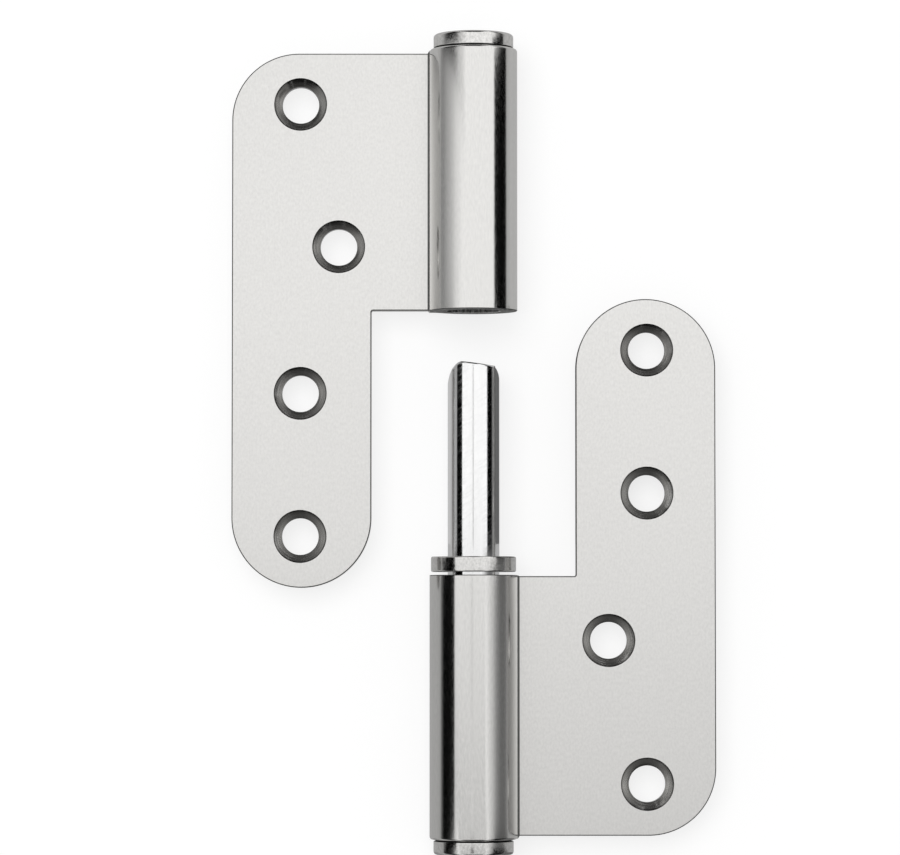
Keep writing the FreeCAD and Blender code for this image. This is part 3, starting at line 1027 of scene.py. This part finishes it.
def floor_material():
    material, tree, shader = new_material("white_table")
    shader.inputs["Base Color"].default_value = (FLOOR_WHITE, FLOOR_WHITE, FLOOR_WHITE, 1)
    shader.inputs["Roughness"].default_value = 0.9
    shader.inputs["Specular IOR Level"].default_value = 0.0
    glow = tree.nodes.new("ShaderNodeEmission")
    glow.inputs["Strength"].default_value = FLOOR_GLOW
    board = tree.nodes.new("ShaderNodeBsdfDiffuse")
    board.inputs["Color"].default_value = (FLOOR_SHADE, FLOOR_SHADE, FLOOR_SHADE, 1)
    both = tree.nodes.new("ShaderNodeAddShader")
    choose = tree.nodes.new("ShaderNodeMixShader")
    out = tree.nodes["Material Output"]
    tree.links.new(board.outputs["BSDF"], both.inputs[0])
    tree.links.new(glow.outputs["Emission"], both.inputs[1])
    tree.links.new(rays_that_show(tree), choose.inputs["Fac"])
    tree.links.new(shader.outputs["BSDF"], choose.inputs[1])
    tree.links.new(both.outputs["Shader"], choose.inputs[2])
    tree.links.new(choose.outputs["Shader"], out.inputs["Surface"])
    return material


nothing_selected()
bpy.ops.mesh.primitive_plane_add(size=FLOOR_SIZE, location=(0, 0, cad_box[0].z))
floor = settle("table")
floor.data.materials.append(floor_material())

# %% [markdown]
# ## Cards and their greys
#
# A card glows with greys that change along one axis, so it needs no lamp of its own. Up a side card the grey
# says how high the dark reaches, and a slow change gives a soft edge to the band. The knuckles, the pin and
# the plugs each mirror their own stretch of card, because a round bar mirrors sideways but not lengthwise.

# %% A glowing card
def glowing_card(name, axis, levels, location, size, rotation=(0, 0, 0)):
    """Add a card seen by reflections only, with greys set at places along an axis."""
    nothing_selected()
    bpy.ops.mesh.primitive_plane_add(size=1, location=location, rotation=rotation)
    bpy.context.object.scale = (*size, 1)
    card = settle(name)

    material, tree, shader = new_material(name)
    shader.inputs["Base Color"].default_value = (0, 0, 0, 1)
    shader.inputs["Specular IOR Level"].default_value = 0.0
    shader.inputs["Emission Strength"].default_value = 1.0
    low, high = levels[0][0], levels[-1][0]
    share = fade(tree, place_along(tree, axis), (low, high), (0.0, 1.0))
    ramp = tree.nodes.new("ShaderNodeValToRGB")
    stops = ramp.color_ramp.elements
    for number, (along, grey) in enumerate(levels):
        position = (along - low) / (high - low)
        if number == 0:
            stop = stops[0]
        elif number == len(levels) - 1:
            stop = stops[-1]
        else:
            stop = stops.new(position)
        stop.color = (grey, grey, grey, 1)
    tree.links.new(share, ramp.inputs["Fac"])
    tree.links.new(ramp.outputs["Color"], shader.inputs["Emission Color"])
    card.data.materials.append(material)

    card.visible_camera = False
    card.visible_diffuse = False
    card.visible_shadow = False
    card.visible_transmission = False


# %% [markdown]
# ## Cards beside the table and across its ends
#
# Each pair of a place and a grey below reads from the table upwards, in metres. On the dark side the grey
# stays at zero up to the height that draws the black band, and then turns white. On the other side it rises
# slowly, which draws the soft one.

# %% Side cards and end cards
CARD_AWAY = 0.13
END_AWAY = 0.35
END_WIDTH = 0.26
END_GREY = 0.05


def side_card(name, side, start, end, levels):
    """Stand a card beside the table, between two places along the hinge."""
    high = levels[-1][0]
    location = (side * CARD_AWAY, (start + end) / 2, high / 2)
    upright = (0, math.radians(90), 0)
    glowing_card(name, "Z", levels, location, (high, end - start), upright)


def end_card(name, side, high):
    """Stand a dark card across the end of the table."""
    levels = [(0, END_GREY), (0.8 * high, END_GREY), (high, 1.0)]
    upright = (math.radians(90), 0, 0)
    glowing_card(name, "Z", levels, (0, side * END_AWAY, high / 2), (END_WIDTH, high), upright)


LEFT, RIGHT = -1, 1
TOP_END, NEAR_END = 1, -1
FAR = 0.30
LEFT_CAP = 0.0905
RIGHT_CAP = 0.094
PIN_TO_DOOR = 0.030
FRAME_TO_PIN = -0.019
LOWER_CAP = -0.0825

side_card("left_upper_cap", LEFT, LEFT_CAP, FAR, [
    (0, 0.30), (0.020, 0.10), (0.035, 0.0), (0.085, 0.0),
    (0.118, 0.15), (0.170, 0.60), (0.258, 0.78), (0.35, 1.0),
])
side_card("right_upper_cap", RIGHT, RIGHT_CAP, FAR, [(0, 0.06), (0.024, 0.09), (0.059, 0.45), (0.080, 1.0)])
side_card("left_door", LEFT, PIN_TO_DOOR, LEFT_CAP, [
    (0, 0.30), (0.022, 0.28), (0.050, 0.42), (0.089, 0.57), (0.131, 0.80), (0.190, 0.92), (0.230, 1.0),
])
side_card("right_door", RIGHT, PIN_TO_DOOR, RIGHT_CAP, [(0, 0.10), (0.008, 0.0), (0.098, 0.0), (0.104, 1.0)])
side_card("left_pin", LEFT, FRAME_TO_PIN, PIN_TO_DOOR, [
    (0, 0.42), (0.028, 0.36), (0.038, 0.0), (0.108, 0.0), (0.115, 1.0),
])
side_card("right_pin", RIGHT, FRAME_TO_PIN, PIN_TO_DOOR, [
    (0, 0.20), (0.010, 0.05), (0.022, 0.0), (0.073, 0.0), (0.080, 1.0),
])
side_card("left_frame", LEFT, LOWER_CAP, FRAME_TO_PIN, [
    (0, 0.20), (0.014, 0.08), (0.023, 0.0), (0.115, 0.0), (0.121, 1.0),
])
side_card("right_frame", RIGHT, LOWER_CAP, FRAME_TO_PIN, [
    (0, 0.22), (0.020, 0.15), (0.050, 0.16), (0.080, 0.27), (0.119, 0.58), (0.173, 0.80), (0.230, 1.0),
])
side_card("left_lower_cap", LEFT, -FAR, LOWER_CAP, [
    (0, 0.05), (0.033, 0.0), (0.065, 0.03), (0.085, 0.12), (0.110, 0.52), (0.140, 0.90), (0.166, 1.0),
])
side_card("right_lower_cap", RIGHT, -FAR, LOWER_CAP, [
    (0, 0.02), (0.085, 0.0), (0.115, 0.42), (0.160, 0.80), (0.200, 1.0),
])
end_card("far_end", TOP_END, 0.42)
end_card("near_end", NEAR_END, 0.30)

# %% [markdown]
# ## Cards on the table and over the hinge
#
# The undersides of the knuckles and of the pin mirror the table, which would draw a white line along each
# edge. Grey cards lie on it for that, and their greys change across the hinge. Three narrow strips hang over
# the hinge and draw the faint line along the top of the pin and of the lower knuckle. Last, the soft box is
# a wide white card overhead, a little greyer towards the near end, as the sheets are in the photograph.

# %% Table cards, hung strips and the soft box
TABLE_SPLIT = 0.021
TABLE_CAP = -0.079
ABOVE_TABLE = 0.0005
STRIP_HEIGHT = 0.077
STRIP_SPLIT = -0.0785
SOFT_BOX_HEIGHT = 1.0


def table_card(name, start, end, levels):
    """Lay a grey card on the table, between two places along the hinge."""
    size = (2 * CARD_AWAY, end - start)
    glowing_card(name, "X", levels, (0, (start + end) / 2, ABOVE_TABLE), size)


def hung_strip(name, left, right, start, end, grey):
    """Hang a narrow strip close over the hinge, which draws a line along the top of a round piece."""
    location = ((left + right) / 2, (start + end) / 2, STRIP_HEIGHT)
    glowing_card(name, "X", [(left, grey), (right, grey)], location, (right - left, end - start))


table_card("table_by_door", TABLE_SPLIT, FAR, [
    (-0.13, 0.35), (-0.03, 0.50), (0, 0.46), (0.03, 0.51), (0.07, 0.45), (0.13, 0.42),
])
table_card("table_by_pin", FRAME_TO_PIN, TABLE_SPLIT, [
    (-0.13, 0.36), (-0.03, 0.38), (-0.01, 0.55), (0.01, 0.12), (0.13, 0.20),
])
table_card("table_by_frame", TABLE_CAP, FRAME_TO_PIN, [
    (-0.13, 0.36), (-0.09, 0.36), (-0.03, 0.42), (0, 0.42), (0.13, 0.30),
])
table_card("table_by_cap", -FAR, TABLE_CAP, [(-0.13, 0.36), (-0.03, 0.40), (0, 0.16), (0.13, 0.10)])

hung_strip("strip_over_pin", -0.0042, -0.0004, FRAME_TO_PIN, 0.020, 0.42)
hung_strip("strip_over_frame", -0.0082, -0.0016, STRIP_SPLIT, -0.0245, 0.74)
hung_strip("strip_over_cap", -0.0105, 0.0012, -0.0840, STRIP_SPLIT, 0.20)

soft_box = [
    (-1.0, 0.56), (-0.150, 0.61), (-0.118, 0.66), (-0.069, 0.82),
    (-0.010, 0.88), (0.020, 0.985), (0.035, 1.0), (1.0, 1.0),
]
glowing_card("soft_box", "Y", soft_box, (0, 0, SOFT_BOX_HEIGHT), (3.0, 2.0))

# %% [markdown]
# ## Sky and lamp
#
# The sky is white where it is seen and dimmer where it only lights. One wide lamp casts the soft shadow on
# the table. It is hidden from reflections, so that the metal mirrors the cards alone.

# %% Lamps and sky
SKY_LIGHT = 0.55
LAMP_PLACE = (-0.25, 0.35, 1.3)
LAMP_TURN = (math.radians(-15), math.radians(-11), 0)
LAMP_SIZE = 1.0
LAMP_WATTS = 9.0

world = bpy.data.worlds.new("studio")
bpy.context.scene.world = world
world.use_nodes = True
sky = world.node_tree.nodes["Background"]
sky_seen = world.node_tree.nodes.new("ShaderNodeBackground")
sky_seen.inputs["Color"].default_value = (1, 1, 1, 1)
sky_seen.inputs["Strength"].default_value = 1.0
sky.inputs["Color"].default_value = (1, 1, 1, 1)
sky.inputs["Strength"].default_value = SKY_LIGHT
choose = world.node_tree.nodes.new("ShaderNodeMixShader")
links = world.node_tree.links
links.new(rays_that_show(world.node_tree), choose.inputs["Fac"])
links.new(sky.outputs["Background"], choose.inputs[1])
links.new(sky_seen.outputs["Background"], choose.inputs[2])
links.new(choose.outputs["Shader"], world.node_tree.nodes["World Output"].inputs["Surface"])

nothing_selected()
bpy.ops.object.light_add(type="AREA", location=LAMP_PLACE)
lamp = bpy.context.object
lamp.data.shape = "RECTANGLE"
lamp.data.size = LAMP_SIZE
lamp.data.size_y = LAMP_SIZE
lamp.data.energy = LAMP_WATTS
lamp.rotation_euler = LAMP_TURN
lamp.visible_glossy = False

# %% [markdown]
# ## The camera
#
# The photograph was taken from almost straight above with a long lens. The rims of the washer and the
# knuckles curve one way above a row of the picture and the other way below it, so the eye stands over that
# row. How fast the rims open gives its distance. The camera tips a little to centre the hinge, and a last
# trim lines its rows up with the photograph's.

# %% Camera
EYE_ROW = 612
ROWS = 855
COLUMNS = 900
AXIS_COLUMN = 473.5
PIXEL = 0.1902 * MM
FOCAL_PIXELS = 4270
SENSOR = 36.0
FRAME_OPEN_ROW = 577
EYE_TRIM = 0.35 * MM

distance = FOCAL_PIXELS * PIXEL
eye_x = (COLUMNS / 2 - AXIS_COLUMN) * PIXEL
eye_y = OPEN_END - (EYE_ROW - FRAME_OPEN_ROW) * PIXEL - EYE_TRIM
tilt = math.atan((EYE_ROW - ROWS / 2) / FOCAL_PIXELS)
bpy.ops.object.camera_add(location=(eye_x, eye_y, LEAF_FACE + distance), rotation=(tilt, 0, 0))
camera = bpy.context.object
camera.data.sensor_width = SENSOR
camera.data.lens = SENSOR * FOCAL_PIXELS / COLUMNS
camera.data.clip_start = 0.01
camera.data.clip_end = 20
bpy.context.scene.camera = camera
bpy.context.scene.view_settings.view_transform = "Standard"
print(f"camera {distance:.3f} m away, {camera.data.lens:.0f} mm lens")
